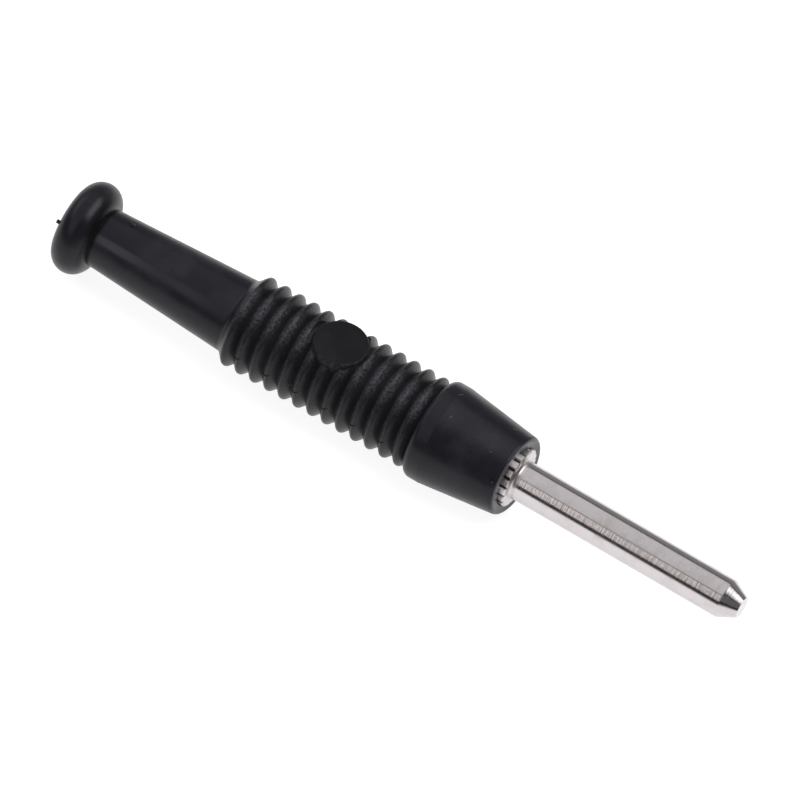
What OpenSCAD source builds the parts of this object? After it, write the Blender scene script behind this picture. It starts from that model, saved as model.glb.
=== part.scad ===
// 4 mm banana plug: a turned contact pin, a moulded insulating sleeve and a clamp screw.
// The plug lies on its collar with its axis along +X, the pin pointing to +X and the pad up.

/* [Pin] */
// Diameter of the contact pin
pin_d = 4; // [3.5:0.05:4.5]
// Length of the pin from the flange's front face to its tip
pin_length = 24.8; // [14:0.1:30]
// Diameter of the flat end of the tip
tip_d = 2.2; // [1.4:0.1:3]
// Length of the cone at the tip
tip_length = 1.75; // [0.8:0.05:3]
// Radius of the fillet between the pin and its flange
root_fillet = 0.3; // [0.1:0.05:0.4]

/* [Flange and shank] */
// Diameter over the knurled flange
flange_d = 6.1; // [5.9:0.1:6.4]
// Length of the flange along the axis
flange_length = 3; // [2:0.1:5]
// How far the flange stands out of the sleeve's front face
flange_proud = 0.3; // [0:0.05:1]
// Chamfer round the flange's front edge
flange_chamfer = 0.1; // [0.05:0.05:0.4]
// Number of knurl teeth round the flange
knurl_teeth = 19; // [12:1:28]
// Depth of the grooves between the knurl teeth
knurl_depth = 0.3; // [0.1:0.05:0.4]
// Width of each knurl groove at the rim
knurl_groove = 0.42; // [0.2:0.02:0.5]
// Diameter of the shank inside the sleeve
shank_d = 5.6; // [5:0.1:5.7]
// Length of the shank behind the flange
shank_length = 28.6; // [20:0.1:32]
// Chamfer round the shank's rear end
shank_chamfer = 0.3; // [0.1:0.05:0.6]
// Diameter of the wire bore in the shank
wire_bore_d = 2.8; // [2:0.1:3.2]
// Depth of the full width of the wire bore
wire_bore_depth = 14; // [8:0.5:18]
// Included angle of the wire bore's drill point
drill_angle = 118; // [90:1:140]

/* [Clamp screw] */
// Nominal diameter of the clamp screw
screw_d = 2.5; // [2:0.1:2.6]
// Length of the clamp screw
screw_length = 2.6; // [2:0.1:2.8]
// Distance of the screw from the shank's rear end
screw_from_end = 5; // [3:0.1:8]
// Depth of the screw's slotted end below the rim of its hole
screw_sink = 0.1; // [0.05:0.05:0.4]
// Width of the screw's driver slot
slot_width = 0.45; // [0.3:0.05:0.8]
// Depth of the screw's driver slot
slot_depth = 0.7; // [0.3:0.05:1]
// Length of the screw's coned point
point_length = 0.6; // [0.3:0.05:0.8]
// Diameter of the screw's flat point
point_d = 1.4; // [0.8:0.1:1.8]

/* [Bead and tube] */
// Diameter over the bead at the cable end
bead_d = 9.55; // [8:0.05:11]
// Width of the round bead along the axis
bead_width = 3.7; // [2.6:0.1:4]
// Length of the tube from the bead's middle to the ribs
tube_length = 17.4; // [10:0.1:26]
// Diameter of the tube at the bead's middle
tube_rear_d = 5.8; // [5.6:0.05:7]
// Diameter of the tube where the ribs begin
tube_front_d = 7.65; // [7.2:0.05:8]
// Radius of the fillet between the tube and the first rib
tube_fillet = 0.55; // [0.2:0.05:0.7]
// Diameter of the cable bore
cable_bore_d = 4.2; // [3:0.1:4.6]
// Height of the moulding gate's stub on the bead's rear
gate_height = 0.2; // [0.1:0.05:0.5]
// Diameter of the moulding gate's stub
gate_d = 0.4; // [0.3:0.05:0.8]
// Distance of the gate's stub from the axis
gate_offset = 3.4; // [2.6:0.1:3.8]
// Turn of the gate's stub round the axis, from the pad
gate_turn = 51; // [0:1:180]

/* [Ribs and collar] */
// Number of ribs on the grip
rib_count = 13; // [9:1:17]
// Distance between neighbouring ribs
rib_pitch = 1.61; // [1.5:0.01:1.7]
// Diameter over the ribs
rib_d = 9.52; // [9.2:0.02:10.4]
// Radius of each rib's rounded crest
rib_round = 0.3; // [0.2:0.01:0.4]
// Slope of each rib's flank, from straight out of the axis
rib_flank = 42; // [38:1:48]
// Length of the collar in front of the ribs
collar_length = 9.9; // [7:0.1:14]
// Diameter over the collar's widest band
collar_d = 10.25; // [9.8:0.05:11.5]
// Length of the collar's widest band
collar_band = 1; // [0.5:0.1:2]
// Radius of the collar's rear edge
collar_rear_round = 0.85; // [0.3:0.05:1]
// Diameter to which the collar tapers at its front face
collar_front_d = 8.25; // [8:0.05:9]
// Radius of the collar's front edge
collar_front_round = 0.35; // [0.2:0.05:0.8]
// Depth of the dish in the collar's front face
face_dish = 0.1; // [0:0.05:0.4]
// Lean of the collar's front face off square
face_lean = 6; // [0:0.5:8]
// Turn of that lean round the axis, from the pad
face_turn = 37; // [0:1:180]

/* [Pad] */
// Diameter of the round pad on the grip
pad_d = 5.4; // [4:0.1:6]
// Height of the pad's face above the axis
pad_height = 4.5; // [4.3:0.05:4.7]
// Radius of the pad's edge
pad_edge = 0.2; // [0.05:0.05:0.25]
// Width of the ring cleared round the pad
moat_width = 0.4; // [0.2:0.05:0.7]
// Height of the cleared ring's floor above the axis
moat_floor = 3.9; // [3.7:0.05:4.1]

/* [Fits] */
// Radial clearance between the shank and its bore
shank_clearance = 0.05; // [0.02:0.01:0.1]
// Radial clearance between the flange and its bore
flange_clearance = 0.08; // [0.02:0.01:0.1]
// Radial clearance between the clamp screw and its hole
thread_clearance = 0.03; // [0.02:0.01:0.06]
// Gap between the contact's shoulders and their seats in the sleeve
seat_gap = 0.1; // [0.05:0.05:0.3]

/* [Hidden] */
$fn = 96;
// Overlap that makes a cut run clear of a face
cut = 1;

// Places along the axis, counted from the middle of the bead
grip_end = tube_length + rib_count * rib_pitch;
front_face = grip_end + collar_length;
flange_front = front_face + flange_proud;
flange_rear = flange_front - flange_length;
shank_rear = flange_rear - shank_length;
tip_end = flange_front + pin_length;
screw_place = shank_rear + screw_from_end;
pad_place = tube_length + rib_count * rib_pitch / 2;
rear_end = -bead_width / 2 - gate_height;

// Taper of the collar, and the ring of its rounded front lip
band_end = grip_end + collar_rear_round + collar_band;
collar_taper = atan((collar_d - collar_front_d) / 2 / (front_face - band_end));
lip_place = front_face - collar_front_round;
lip_rim_r = collar_front_d / 2 + collar_front_round * tan(collar_taper);
// Step by which the lip stays inside the edge of the tapered collar
lip_step = 0.03;
lip_ring_r = lip_rim_r - lip_step - collar_front_round;
// Depth to which the lip reaches back into the collar
lip_root = 2;
// Sideways shift that keeps the leaning lip on the middle of the tapered collar
lip_shift = lip_rim_r * tan(collar_taper) * tan(face_lean);

// Radii that several shapes share
bead_ring_r = (bead_d - bead_width) / 2;
rib_centre_r = rib_d / 2 - rib_round;
rib_edge_r = rib_centre_r + rib_round * sin(rib_flank);
rib_edge_y = rib_round * cos(rib_flank);
groove_r = rib_edge_r - (rib_pitch / 2 - rib_edge_y) / tan(rib_flank);
shank_bore_r = shank_d / 2 + shank_clearance;
flange_bore_r = flange_d / 2 + flange_clearance;
screw_hole_r = screw_d / 2 + thread_clearance;
// Height of the screw's slotted end, below the curve of the shank
screw_top = sqrt(pow(shank_d / 2, 2) - pow(screw_hole_r, 2)) - screw_sink;

// Lays the plug down: middle of its length over the origin, widest band on the ground
module lay_down() {
    translate([-(rear_end + tip_end) / 2, 0, collar_d / 2])
        children();
}

// Turns a half profile, radius along x and length along y, round the plug's axis
module turned() {
    rotate([0, 90, 0])
        rotate_extrude()
            children();
}

// Rectangle of a half profile between two places on the axis
module step(from, to, radius) {
    translate([0, from])
        square([radius, to - from]);
}

// Half profile of the bead: a round ring that also rounds the mouth of the cable bore
module bead_profile() {
    translate([bead_ring_r, 0])
        circle(d = bead_width);
    step(0, bead_width / 2, bead_ring_r);
}

// Half profile of the tapered tube
module tube_profile() {
    polygon([
        [0, 0],
        [tube_rear_d / 2, 0],
        [tube_front_d / 2, tube_length],
        [0, tube_length]
    ]);
}

// Half profile of the concave fillet from the tube to the first rib's flank
module tube_fillet_profile() {
    slope = atan((tube_front_d - tube_rear_d) / 2 / tube_length);
    tangent = tube_fillet / tan((90 + slope + rib_flank) / 2);
    sunk = (groove_r - tube_front_d / 2) * tan(rib_flank);
    corner = [tube_front_d / 2, tube_length - sunk];
    on_tube = corner - tangent * [sin(slope), cos(slope)];
    on_flank = corner + tangent * [cos(rib_flank), sin(rib_flank)];
    centre = on_tube + tube_fillet * [cos(slope), -sin(slope)];
    difference() {
        polygon([on_tube, centre, on_flank, 2 * corner - centre]);
        translate(centre)
            circle(tube_fillet);
    }
}

// Half profile of one rib: a round crest on two straight flanks
module rib_profile() {
    translate([rib_centre_r, 0])
        circle(rib_round);
    polygon([
        [0, -rib_pitch / 2],
        [groove_r, -rib_pitch / 2],
        [rib_edge_r, -rib_edge_y],
        [rib_edge_r, rib_edge_y],
        [groove_r, rib_pitch / 2],
        [0, rib_pitch / 2]
    ]);
}

// Half profile of the ribbed grip
module grip_profile() {
    step(tube_length, grip_end, groove_r);
    for (i = [0 : rib_count - 1])
        translate([0, tube_length + rib_pitch * (i + 0.5)])
            rib_profile();
}

// Half profile of the collar, with a rounded rear edge
module collar_profile() {
    rear_edge_r = collar_d / 2 - collar_rear_round;
    translate([rear_edge_r, grip_end + collar_rear_round])
        circle(collar_rear_round);
    polygon([
        [0, grip_end - rib_pitch / 2],
        [groove_r, grip_end - rib_pitch / 2],
        [groove_r, grip_end],
        [rear_edge_r, grip_end],
        [rear_edge_r, grip_end + collar_rear_round],
        [collar_d / 2, grip_end + collar_rear_round],
        [collar_d / 2, band_end],
        [collar_front_d / 2, front_face],
        [0, front_face]
    ]);
}

// Half profile of the collar's rounded lip and dished front face
module lip_profile() {
    dish_slope = face_dish / (lip_ring_r - flange_bore_r);
    translate([lip_ring_r, lip_place])
        circle(collar_front_round);
    polygon([
        [0, lip_place - lip_root],
        [lip_ring_r, lip_place - lip_root],
        [lip_ring_r, front_face],
        [0, front_face - dish_slope * lip_ring_r]
    ]);
}

// Leans a shape about the middle of the lip
module leaned() {
    rotate([face_turn, 0, 0])
        translate([lip_place, 0, lip_shift])
            rotate([0, -face_lean, 0])
                translate([-lip_place, 0, 0])
                    children();
}

// Trims the collar along its leaning front face and puts the lip there
module lip_on_collar() {
    difference() {
        children();
        leaned()
            turned()
                step(lip_place, front_face + cut, collar_d);
    }
    leaned()
        turned()
            lip_profile();
}

// Flat round pad on the grip, in a ring cleared out of the ribs
module pad_on_grip() {
    difference() {
        children();
        translate([pad_place, 0, moat_floor])
            cylinder(d = pad_d + 2 * moat_width, h = collar_d);
    }
    translate([pad_place, 0, 0])
        rotate_extrude()
            difference() {
                union() {
                    step(shank_bore_r, pad_height - pad_edge, pad_d / 2);
                    step(shank_bore_r, pad_height, pad_d / 2 - pad_edge);
                    translate([pad_d / 2 - pad_edge, pad_height - pad_edge])
                        circle(pad_edge);
                }
                step(shank_bore_r - cut, shank_bore_r, pad_d);
            }
}

// Stub that the moulding gate left on the bead's rear
module gate_stub() {
    rotate([gate_turn, 0, 0])
        translate([rear_end, 0, gate_offset])
            rotate([0, 90, 0])
                cylinder(d = gate_d, h = gate_height + bead_width / 2);
}

// Stepped bore for the cable, the shank and the flange
module sleeve_bore() {
    turned() {
        step(rear_end - cut, front_face + cut, cable_bore_d / 2);
        step(shank_rear - seat_gap, front_face + cut, shank_bore_r);
        step(flange_rear - seat_gap, front_face + cut, flange_bore_r);
    }
}

module insulating_sleeve() {
    color([0.09, 0.09, 0.1])
        lay_down()
            difference() {
                union() {
                    pad_on_grip()
                        lip_on_collar()
                            turned() {
                                bead_profile();
                                tube_profile();
                                tube_fillet_profile();
                                grip_profile();
                                collar_profile();
                            }
                    gate_stub();
                }
                sleeve_bore();
            }
}

// Half profile of the pin with its coned tip and root fillet
module pin_profile() {
    step(flange_rear, tip_end - tip_length, pin_d / 2);
    polygon([
        [0, tip_end - tip_length],
        [pin_d / 2, tip_end - tip_length],
        [tip_d / 2, tip_end],
        [0, tip_end]
    ]);
    difference() {
        step(flange_rear, flange_front + root_fillet, pin_d / 2 + root_fillet);
        translate([pin_d / 2 + root_fillet, flange_front + root_fillet])
            circle(root_fillet);
    }
}

// Half profile of the shank with its chamfered rear end
module shank_profile() {
    polygon([
        [0, shank_rear],
        [shank_d / 2 - shank_chamfer, shank_rear],
        [shank_d / 2, shank_rear + shank_chamfer],
        [shank_d / 2, flange_rear + cut],
        [0, flange_rear + cut]
    ]);
}

// Half profile of the wire bore with its drill point
module wire_bore_profile() {
    bore_end = shank_rear + wire_bore_depth;
    polygon([
        [0, shank_rear - cut],
        [wire_bore_d / 2, shank_rear - cut],
        [wire_bore_d / 2, bore_end],
        [0, bore_end + wire_bore_d / 2 / tan(drill_angle / 2)]
    ]);
}

// Straight knurl: a disc with V grooves cut along its rim
module knurled_disc() {
    rim_r = flange_d / 2;
    difference() {
        circle(rim_r);
        for (i = [0 : knurl_teeth - 1])
            rotate(i * 360 / knurl_teeth)
                polygon([
                    [rim_r - knurl_depth, 0],
                    [rim_r + knurl_depth, -knurl_groove],
                    [rim_r + knurl_depth, knurl_groove]
                ]);
    }
}

// Knurled flange with a chamfered front edge
module flange() {
    intersection() {
        translate([flange_rear, 0, 0])
            rotate([0, 90, 0])
                linear_extrude(flange_length)
                    knurled_disc();
        turned()
            polygon([
                [0, flange_rear - cut],
                [flange_d, flange_rear - cut],
                [flange_d, flange_front - flange_chamfer],
                [flange_d / 2, flange_front - flange_chamfer],
                [flange_d / 2 - flange_chamfer, flange_front],
                [0, flange_front]
            ]);
    }
}

module contact_pin() {
    color([0.78, 0.77, 0.75])
        lay_down()
            difference() {
                union() {
                    turned() {
                        pin_profile();
                        shank_profile();
                    }
                    flange();
                }
                turned()
                    wire_bore_profile();
                translate([screw_place, 0, 0])
                    cylinder(r = screw_hole_r, h = shank_d);
            }
}

module clamp_screw() {
    color([0.62, 0.62, 0.6])
        lay_down()
            translate([screw_place, 0, screw_top - screw_length])
                difference() {
                    rotate_extrude()
                        polygon([
                            [0, 0],
                            [point_d / 2, 0],
                            [screw_d / 2, point_length],
                            [screw_d / 2, screw_length],
                            [0, screw_length]
                        ]);
                    translate([-slot_width / 2, -screw_d, screw_length - slot_depth])
                        cube([slot_width, 2 * screw_d, slot_depth + cut]);
                }
}

insulating_sleeve();
contact_pin();
clamp_screw();
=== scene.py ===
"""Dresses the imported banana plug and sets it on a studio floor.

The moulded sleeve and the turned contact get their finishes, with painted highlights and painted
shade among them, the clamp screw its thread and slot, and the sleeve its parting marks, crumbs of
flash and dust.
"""

import math
import random

import bmesh
import bpy
from bpy.props import FloatProperty, FloatVectorProperty, IntProperty, PointerProperty
from mathutils import Matrix, Vector
from mathutils.bvhtree import BVHTree


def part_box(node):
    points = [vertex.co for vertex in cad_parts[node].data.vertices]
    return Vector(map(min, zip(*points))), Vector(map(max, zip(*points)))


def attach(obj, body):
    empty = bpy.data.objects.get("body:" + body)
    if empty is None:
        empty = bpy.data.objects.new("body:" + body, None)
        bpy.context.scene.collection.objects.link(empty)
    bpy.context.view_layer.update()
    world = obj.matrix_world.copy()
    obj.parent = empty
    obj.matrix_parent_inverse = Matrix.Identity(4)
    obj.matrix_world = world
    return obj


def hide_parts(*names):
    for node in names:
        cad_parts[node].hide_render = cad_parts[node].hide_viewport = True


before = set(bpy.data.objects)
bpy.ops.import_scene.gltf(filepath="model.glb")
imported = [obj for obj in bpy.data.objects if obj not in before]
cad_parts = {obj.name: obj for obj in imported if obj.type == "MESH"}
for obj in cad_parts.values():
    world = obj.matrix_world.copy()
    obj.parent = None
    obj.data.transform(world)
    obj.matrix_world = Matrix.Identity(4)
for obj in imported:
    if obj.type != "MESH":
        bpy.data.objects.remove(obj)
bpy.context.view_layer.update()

bl_info = {
    "name": "Banana plug dressing",
    "version": (1, 0, 0),
    "blender": (4, 5, 0),
    "location": "3D View > Sidebar > Plug",
    "description": "Finishes, small moulding marks and studio stage for a banana plug",
    "category": "Object",
}

MM = 0.001
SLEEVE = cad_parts["insulating_sleeve"]
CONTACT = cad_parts["contact_pin"]
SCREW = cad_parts["clamp_screw"]
SLEEVE_LOW, SLEEVE_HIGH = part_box("insulating_sleeve")
CONTACT_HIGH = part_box("contact_pin")[1]
SCREW_LOW, SCREW_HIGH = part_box("clamp_screw")
AXIS_HEIGHT = (SLEEVE_LOW.z + SLEEVE_HIGH.z) / 2
SLEEVE_SURFACE = BVHTree.FromPolygons(
    [corner.co for corner in SLEEVE.data.vertices],
    [face.vertices for face in SLEEVE.data.polygons],
)

# Noise of the shared effects: patterns per millimetre, and where a pattern starts and ends
DOME_EDGE = 0.8
MOTTLE_SCALE = 0.35
DRIFT_SCALE, DRIFT_REACH = 0.9, 0.12
BAND_SCALE = 0.6
PATCH_RANGE = (0.42, 0.68)
SPECK_SCALE, SPECK_RANGE = 0.9, (0.02, 0.06)

# Masks on the sleeve, in millimetres: half the fade at the grip's two ends, fade round the pad, and
# distances at which a band is full and has faded
GRIP_START, GRIP_END = 0.5, 0.3
PAD_FADE = 0.5
# Painted highlight on the pad's rim
RIM_HIGHLIGHT_BAND = (0.06, 0.2)
# Painted shade over the neck band, as over the grip
NECK_BAND = (0.3, 0.8)
# Painted shade in the crease between bead and tube
CREASE_SHIFT, CREASE_BAND = 0.2, (0.2, 0.5)
# Painted highlight stripe on the tube
SHEEN_START, SHEEN_FADE, SHEEN_END = (0.1, 0.8), (2.0, 8.0), 6.0
# Painted highlight on the sleeve's front lip
LIP_SHEEN_DEPTH = (1.4, 1.0)

# Shares of a rib's pitch, of a spread and of full strength
# The last of these is the full width of the painted highlight along each rib's edge
CREST_PLACE, CREST_END, HIGHLIGHT_EDGE_FULL = 0.5, 0.45, 0.02
# Full widths: the crests' rubbing (partly wear, partly painted highlight), the tube's painted
# highlight stripe, and the pin's streaks painted on one side as a reflection
RUB_SHEEN_FULL, SHEEN_FULL, STREAK_SHEEN_FULL = 0.25, 0.3, 0.4
# Share of the tube's painted highlight left where it fades
SHEEN_REST = 0.35
# Facing of the lip's painted highlight
LIP_SHEEN_FACING = (0.4, 0.9)

# Sleeve: grains and patches per millimetre, dust, breaks in the frost, roughness and relief
PVC_GRAINS, PVC_PATCHES, PVC_IOR = 3.6, 0.22, 1.3
PVC_DUST = 0.3
FROST_RANGE, FROST_LEAST = (0.4, 0.58), 0.22
PVC_SPECK = (0.03, 0.03, 0.035)
PVC_ROUGH_PATCH, PVC_ROUGH_GRAIN, PVC_ROUGH_SHIFT = 0.08, 0.08, -0.06
PVC_ROUGH_FROST, PVC_ROUGH_PAD = 0.2, 0.3
PVC_FINE_RELIEF = 0.2
# Parting marks: darker, duller PVC as painted shade of their crease
FLASH_SHADE_GRAINS, FLASH_SHADE_IOR = 5.0, 1.15
FLASH_SHADE_ROUGH, FLASH_SHADE_ROUGH_GRAIN = 0.6, 0.2

# Contact: rings, patches and specks per millimetre, the knurl gaps' painted shade as shares of their
# depth, fades in millimetres, and roughness
NICKEL_RINGS, NICKEL_PATCHES, NICKEL_SPECKS = 7.0, 0.5, 4.5
GAP_FLOOR, GAP_SIDE = (1.3, 1.1), (0.75, 0.1)
FLANGE_FRONT_FADE, FLANGE_REAR_FADE = (0.2, 0.1), 0.05
SPECK_SHARE, STREAK_RANGE = 0.5, (0.58, 0.92)
CONE_FADE, CONE_REST = 0.1, 0.15
ROOT_FADE = (0.1, 0.9)
NICKEL_ROUGH_RING, NICKEL_ROUGH_SHIFT = 0.08, -0.04
NICKEL_ROUGH_PATCH, NICKEL_ROUGH_ROOT = 0.04, 0.2

# Screw and lint
STEEL_RINGS, STEEL_PATCHES, STEEL_WORN = 9.0, 0.9, 0.6
STEEL_ROUGH_RING, STEEL_ROUGH_SHIFT = 0.16, -0.08
LINT_GRAINS, LINT_GREY, LINT_ROUGH = 9.0, 0.5, 0.8

# Small marks: share of a bar left at its ends, a parting mark's top as a share of its width, lift of
# a fibre as a share of its radius, and crumbs
BAR_END = 0.25
FLASH_TOP = 0.5
LINT_LIFT = 0.5
CRUMB_SEED, CRUMB_RANGE, CRUMB_HEIGHT = 4, (0.75, 1.2), 0.6

# Stage: floor's half width in metres, room's shading by direction, camera's clipping by distance
FLOOR_REACH, FLOOR_ROUGH = 3.0, 0.9
ROOM_DEPTH, ROOM_TIP, ROOM_TOP, ROOM_TOP_REST = (-0.5, 0.5), (0.2, 0.9), (0.35, 0.65), 0.15
CLIP_START, CLIP_END = 0.05, 20.0


def opaque(tint):
    """A colour with full alpha, as a shader's socket takes it."""
    return (*tint, 1.0)


def length(name, text, millimetres, low=0.0):
    """A size in metres that a user may change, given here in millimetres."""
    return FloatProperty(
        name=name,
        description=text,
        default=millimetres * MM,
        min=low * MM,
        precision=5,
        unit="LENGTH",
    )


def share(name, text, value, high=1.0):
    """A plain number from zero up."""
    return FloatProperty(name=name, description=text, default=value, min=0.0, max=high, precision=4)


def angle(name, text, degrees):
    """An angle, given here in degrees."""
    turn = math.radians(degrees)
    return FloatProperty(name=name, description=text, default=turn, subtype="ANGLE")


def colour(name, text, red, green, blue):
    """A linear colour."""
    return FloatVectorProperty(
        name=name,
        description=text,
        default=(red, green, blue),
        min=0.0,
        max=1.0,
        size=3,
        precision=4,
        subtype="COLOR",
    )


class PlugFinish(bpy.types.PropertyGroup):
    """Colours, gloss and fine relief of the plug's materials."""

    pvc_colour: colour("Sleeve colour", "Body colour of the moulded sleeve", 0.0052, 0.0047, 0.0102)
    # Painted shade: this darker colour goes over the whole grip, its pad, the neck band and the
    # parting marks
    pvc_shade_colour: colour(
        "Groove colour",
        "Body colour in the grip's grooves, on its pad and in the neck",
        0.004, 0.0036, 0.0055,
    )
    # Used for pale dust patches and for the painted highlights on crests, rib edges, pad rim and
    # tube
    pvc_bloom_and_sheen: colour(
        "Sleeve bloom",
        "Paler colour of the sleeve's rubbed crests",
        0.054, 0.052, 0.063,
    )
    # Painted highlight on the lip, where it faces the pin
    pvc_lip_sheen: colour(
        "Lip colour",
        "Paler colour of the sleeve's scuffed front lip",
        0.085, 0.083, 0.094,
    )
    # Painted highlight stripe on the tube, given in the bloom colour
    tube_sheen_share: share("Smear share", "Share of the bloom in the pale smear on the tube", 0.66)
    # Painted highlight on the pad's bevelled rim, given in the bloom colour
    rim_highlight_share: share("Rim share", "Share of the bloom on the pad's rubbed rim", 0.6)
    # Painted highlight along each rib's edge, given in the bloom colour
    edge_highlight_share: share("Edge share", "Share of the bloom on the ribs' rubbed edges", 0.8)
    pad_dulling: share(
        "Pad dulling",
        "Share of its reflection that the matt pad loses to its dark body colour",
        0.45,
    )
    # Painted shade: the bead's face by the neck loses its reflection to the dark body colour,
    # darkening the crease
    crease_shade_share: share(
        "Neck dulling",
        "Share of its reflection that the bead's face loses to grime by the neck",
        0.7,
    )
    pvc_gloss: share("Sleeve roughness", "Mean roughness of the moulded sleeve", 0.32)
    grain_depth: length("Grain depth", "Depth of the pits in the sleeve's frosted grip", 0.05)
    nickel_colour: colour(
        "Nickel colour",
        "Reflection colour of the plated contact",
        0.6, 0.563, 0.573,
    )
    nickel_shade: colour(
        "Nickel shade",
        "Reflection colour in the contact's duller rings",
        0.5, 0.46, 0.46,
    )
    # The pin's streaks: turning marks, painted only on the side where they show as a reflection
    streak_light: colour(
        "Light streaks",
        "Reflection colour of the pin's lighter streaks",
        0.66, 0.61, 0.6,
    )
    streak_dark: colour(
        "Dark streaks",
        "Reflection colour of the pin's darker streaks",
        0.46, 0.4, 0.39,
    )
    # Painted shade in the knurl's gaps
    gap_shade_colour: colour("Gap colour", "Reflection colour in the gaps of the knurl", 0.1, 0.09, 0.09)
    nickel_gloss: share("Nickel roughness", "Mean roughness of the plated contact", 0.14)
    mark_depth: length("Turning mark depth", "Depth of the lathe's marks on the contact", 0.01)
    steel_colour: colour("Screw colour", "Reflection colour of the clamp screw", 0.46, 0.45, 0.44)
    steel_gloss: share("Screw roughness", "Mean roughness of the clamp screw", 0.3)
    steel_depth: length("Screw mark depth", "Depth of the tool's marks on the clamp screw", 0.004)
    lint_colour: colour("Lint colour", "Colour of the dust on the collar", 0.16, 0.155, 0.16)


class PlugMarks(bpy.types.PropertyGroup):
    """Places on the plug, and sizes of its small marks and of its clamp screw."""

    bead_from_rear: length(
        "Bead middle",
        "Distance of the bead's middle from the gate stub's end",
        2.05,
    )
    tube_length: length("Tube length", "Length from the bead's middle to the first rib", 17.4)
    neck_place: length(
        "Neck place",
        "Length from the bead's middle to the neck in front of it",
        1.5,
    )
    rib_count: IntProperty(name="Ribs", description="Number of ribs on the grip", default=13, min=1)
    rib_pitch: length("Rib pitch", "Distance between neighbouring ribs", 1.61)
    pad_radius: length("Pad radius", "Radius of the smooth pad", 2.7)
    pad_depth: length("Pad depth", "Depth of the pad's face below the sleeve's top", 0.6)
    # The crests' rubbing: partly wear, partly a painted highlight of the ribs' lit flanks
    rub_sheen_reach: length("Rub reach", "Reach of the rubbed strip to each side of a rib's crest", 0.33)
    rub_sheen_shift: length(
        "Rub shift",
        "Shift of the rubbed strips from the crests towards the cable",
        0.03,
    )
    # Place and width of the painted highlight along each rib's edge
    highlight_edge_shift: length(
        "Edge shift",
        "Distance of a rib's rubbed edge from its crest, towards the cable",
        0.35,
    )
    edge_width: length("Edge width", "Width over which a rib's rubbed edge fades out", 0.18)
    rub_sheen_rest: share("Rub rest", "Share of the rubbing left on the grip's far side", 0.16)
    rub_sheen_turn: angle("Rub turn", "Turn of the rubbed strips' middle from the pad", 17.0)
    rub_sheen_spread: angle("Rub spread", "Turn over which the rubbed strips fade out", 31.0)
    # Turn and spread of the painted highlight stripe on the tube
    tube_sheen_turn: angle("Smear turn", "Turn of the pale smear on the tube from the pad", 43.5)
    tube_sheen_spread: angle("Smear spread", "Turn over which the pale smear fades out", 11.0)
    # Side of the pin where the streaks are painted as a reflection
    streak_sheen_turn: angle("Streak turn", "Turn of the pin's streaked side from the pad", 46.0)
    streak_sheen_spread: angle("Streak spread", "Turn over which the pin's streaks fade out", 15.0)
    knurl_radius: length("Knurl radius", "Radius over the flange's knurl", 3.05)
    knurl_depth: length("Knurl depth", "Depth of the gaps between the knurl's teeth", 0.3)
    flange_front: length(
        "Flange front",
        "Length from the bead's middle to the flange's front",
        48.53,
    )
    flange_length: length("Flange length", "Length of the knurled flange", 3.0)
    cone_length: length("Cone length", "Length of the pin's coned tip", 1.75)
    flash_turn: angle("Flash turn", "Turn of the mould's parting line from the pad", 90.0)
    flash_slant: angle("Flash slant", "Turn by which a parting mark slants across its rib", 6.5)
    flash_reach: length("Flash reach", "Reach of a parting mark to each side of its middle", 0.42)
    flash_shift: length(
        "Flash shift",
        "Shift of the parting marks from the crests towards the cable",
        0.12,
    )
    flash_width: length("Flash width", "Width of a parting mark", 0.12)
    flash_height: length("Flash height", "Height of a parting mark", 0.06)
    lint_width: length("Lint width", "Thickness of the dust fibres on the collar", 0.07)
    thread_pitch: length("Thread pitch", "Pitch of the clamp screw's thread", 0.45)
    thread_depth: length("Thread depth", "Depth of the clamp screw's thread", 0.22)
    slot_width: length("Slot width", "Width of the clamp screw's driver slot", 0.45)
    slot_depth: length("Slot depth", "Depth of the clamp screw's driver slot", 0.7)
    point_length: length("Point length", "Length of the clamp screw's coned point", 0.6)
    point_diameter: length("Point diameter", "Diameter of the clamp screw's flat point", 1.4)


class PlugStage(bpy.types.PropertyGroup):
    """Camera, floor and lights."""

    lean: angle("Camera lean", "Lean of the camera towards the pin", 13.2)
    pad_turn: angle("Pad turn", "Turn of the pad away from the camera, about the plug's axis", 36.8)
    axis_slope: angle("Axis slope", "Slope of the plug's axis in the picture", 30.1)
    frame_width: length("Frame width", "Width of the picture at the plug", 75.47)
    aim_along: length(
        "Aim along",
        "Place on the axis at the picture's middle, from the bead's middle",
        34.7,
    )
    aim_up: length("Aim up", "Shift of the picture's middle off the axis", 0.775)
    focal_length: share("Focal length", "Focal length of the camera in millimetres", 1200.0, 5000.0)
    floor_colour: colour("Floor colour", "Colour of the studio floor", 0.32, 0.32, 0.32)
    floor_glow: share("Floor glow", "Light that the floor passes from below", 0.9, 10.0)
    glow_reach: length("Glow reach", "Radius round the plug to which the floor glows fully", 50.0)
    glow_end: length("Glow end", "Radius at which the floor's glow has faded", 130.0)
    glow_rest: share("Glow rest", "Share of the glow left beyond that radius", 0.15)
    back_fill: share("Back fill", "Brightness of the room behind the plug", 0.3, 10.0)
    front_fill: share("Front fill", "Brightness of the room in front of the plug", 0.04, 10.0)
    tip_shade: share("Tip shade", "Share of that brightness left beyond the pin's tip", 0.4)
    veil: share("Veil", "Stray light that the bright surround adds to the darkest tones", 0.004)


def settings():
    """The three property groups of the scene."""
    scene = bpy.context.scene
    return scene.plug_finish, scene.plug_marks, scene.plug_stage


def on_sleeve(along, radius, turn):
    """A point by its place along the axis from the bead's middle, its radius and its turn.

    The turn goes from the pad towards -Y.
    """
    marks = settings()[1]
    start = SLEEVE_LOW.x + marks.bead_from_rear
    return Vector((
        start + along,
        -radius * math.sin(turn),
        AXIS_HEIGHT + radius * math.cos(turn),
    ))


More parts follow.
